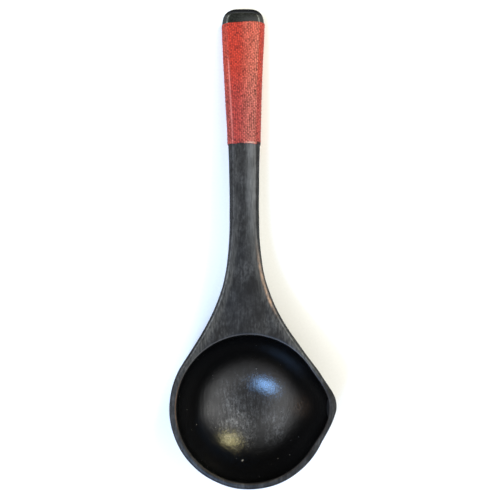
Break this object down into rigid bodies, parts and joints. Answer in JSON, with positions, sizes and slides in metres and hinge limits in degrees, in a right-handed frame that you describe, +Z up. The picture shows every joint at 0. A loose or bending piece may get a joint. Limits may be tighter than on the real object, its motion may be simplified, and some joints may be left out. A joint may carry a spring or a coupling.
{
  "type": "wooden ladle",
  "caption": "Carved wooden ladle, lacquered black, with a deep round bowl, a side pouring beak and a grip bound in red-lacquered coarse cloth.",
  "frame": {"origin": "centre of the small flat that the bowl rests on, on the table plane, with the ladle lying at rest", "axes": "+Z up from the table, +Y along the handle towards its end, +X towards the pouring beak"},
  "size_m": [0.0795, 0.2333, 0.0375],
  "materials": {
    "satin_lacquer": "satin black lacquer over lengthwise wood grain",
    "gloss_lining": "high gloss black lacquer",
    "red_cloth": "coarse woven cloth under red lacquer",
    "gloss_end": "gloss black lacquer"
  },
  "bodies": {
    "root": {"ladle_body": "satin_lacquer", "bowl_lining": "gloss_lining", "grip_cloth": "red_cloth", "butt_cap": "gloss_end"}
  },
  "joints": []
}
